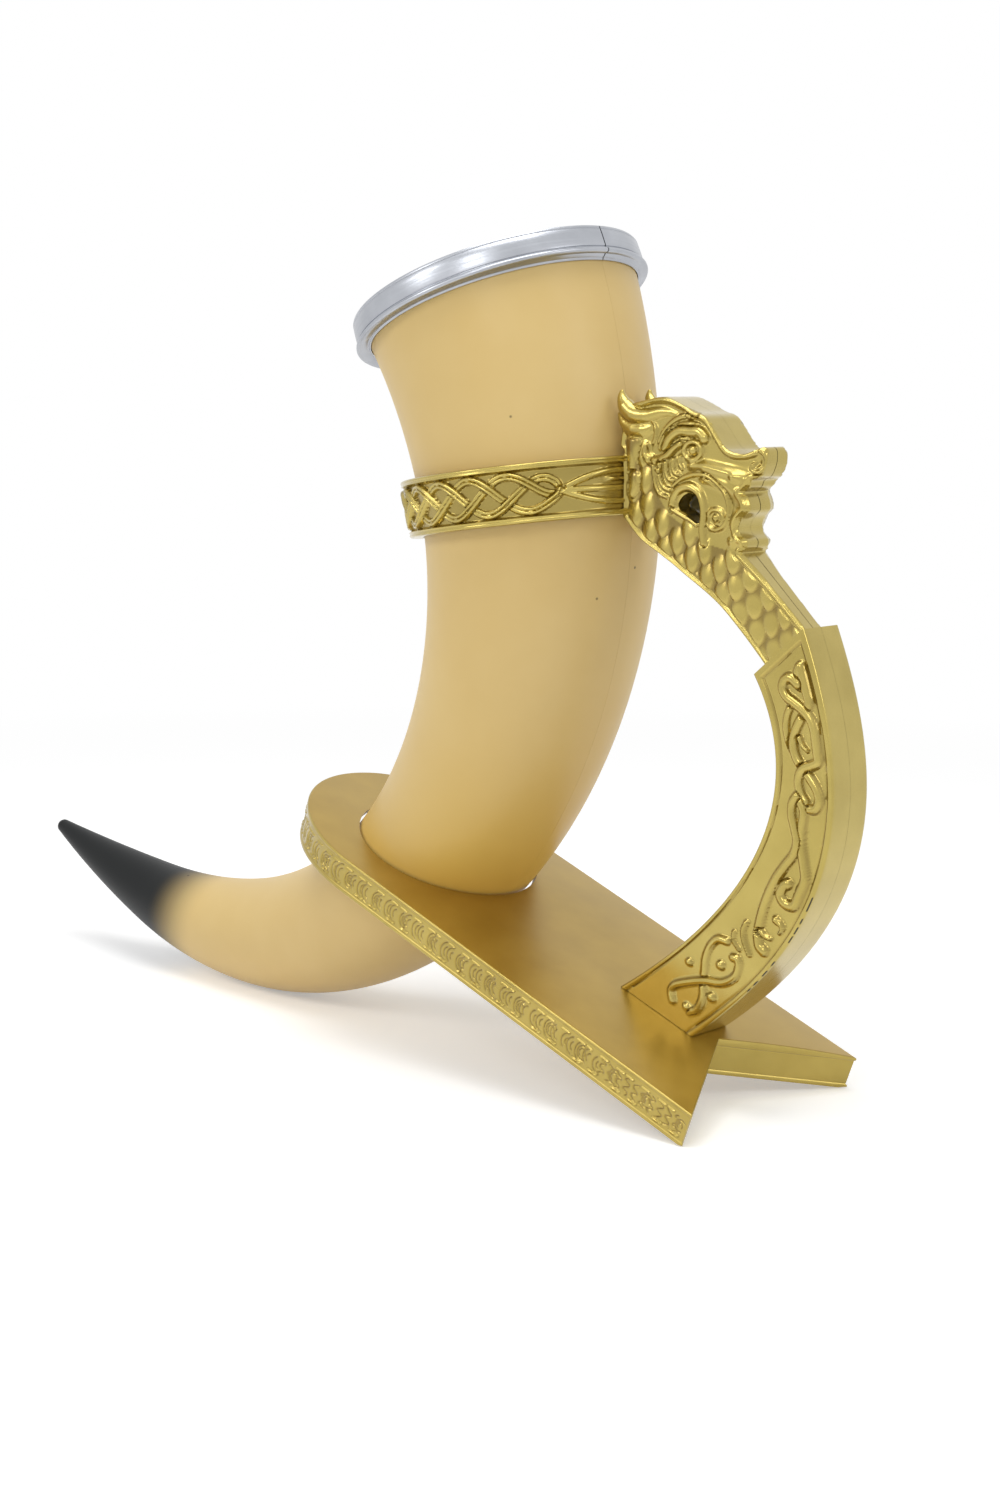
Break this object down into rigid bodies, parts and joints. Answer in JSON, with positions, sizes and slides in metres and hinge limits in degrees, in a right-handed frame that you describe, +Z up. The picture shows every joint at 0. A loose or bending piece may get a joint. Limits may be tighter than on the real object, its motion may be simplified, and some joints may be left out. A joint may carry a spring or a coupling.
{
  "type": "drinking horn with stand",
  "caption": "Curved drinking horn with a rim, leaning in a knotwork collar and a fishtail base plate that share a dragon-headed handle; the horn lifts out by turning about its bend.",
  "frame": {"origin": "bottom centre of the bounding box of the whole object, on the table", "axes": "+Z up, +X from the horn's tip towards the handle, Y across the object; the plane Y = 0 is the parting plane of the mouldings"},
  "size_m": [0.3249, 0.0816, 0.2257],
  "materials": {
    "horn_cream": "cream, satin, shading to black at the tip",
    "horn_cream_right": "cream, satin, shading to black at the tip",
    "rim_silver": "silver-coloured coating",
    "plate_gold": "gold-coloured metallised coating, satin",
    "arm_left_gold": "gold-coloured metallised coating, satin",
    "arm_right_gold": "gold-coloured metallised coating, satin",
    "dragon_left_gold": "gold-coloured metallised coating, satin",
    "dragon_right_gold": "gold-coloured metallised coating, satin",
    "collar_gold": "gold-coloured metallised coating, satin",
    "screw_steel": "zinc-plated"
  },
  "bodies": {
    "stand": {"base_plate": "plate_gold", "arm_left_half": "arm_left_gold", "arm_right_half": "arm_right_gold", "dragon_left_half": "dragon_left_gold", "dragon_right_half": "dragon_right_gold", "horn_collar": "collar_gold", "foot_screw_1": "screw_steel", "foot_screw_2": "screw_steel", "foot_screw_3": "screw_steel", "foot_screw_4": "screw_steel"},
    "horn": {"horn_left_half": "horn_cream", "horn_right_half": "horn_cream_right", "rim_ring": "rim_silver"}
  },
  "joints": [
    {"name": "horn_lift", "type": "hinge", "parent": "stand", "child": "horn", "pos_m": [-0.06721, 0, 0.14372], "axis": [0, -1, 0], "range_deg": [0, 125]}
  ]
}
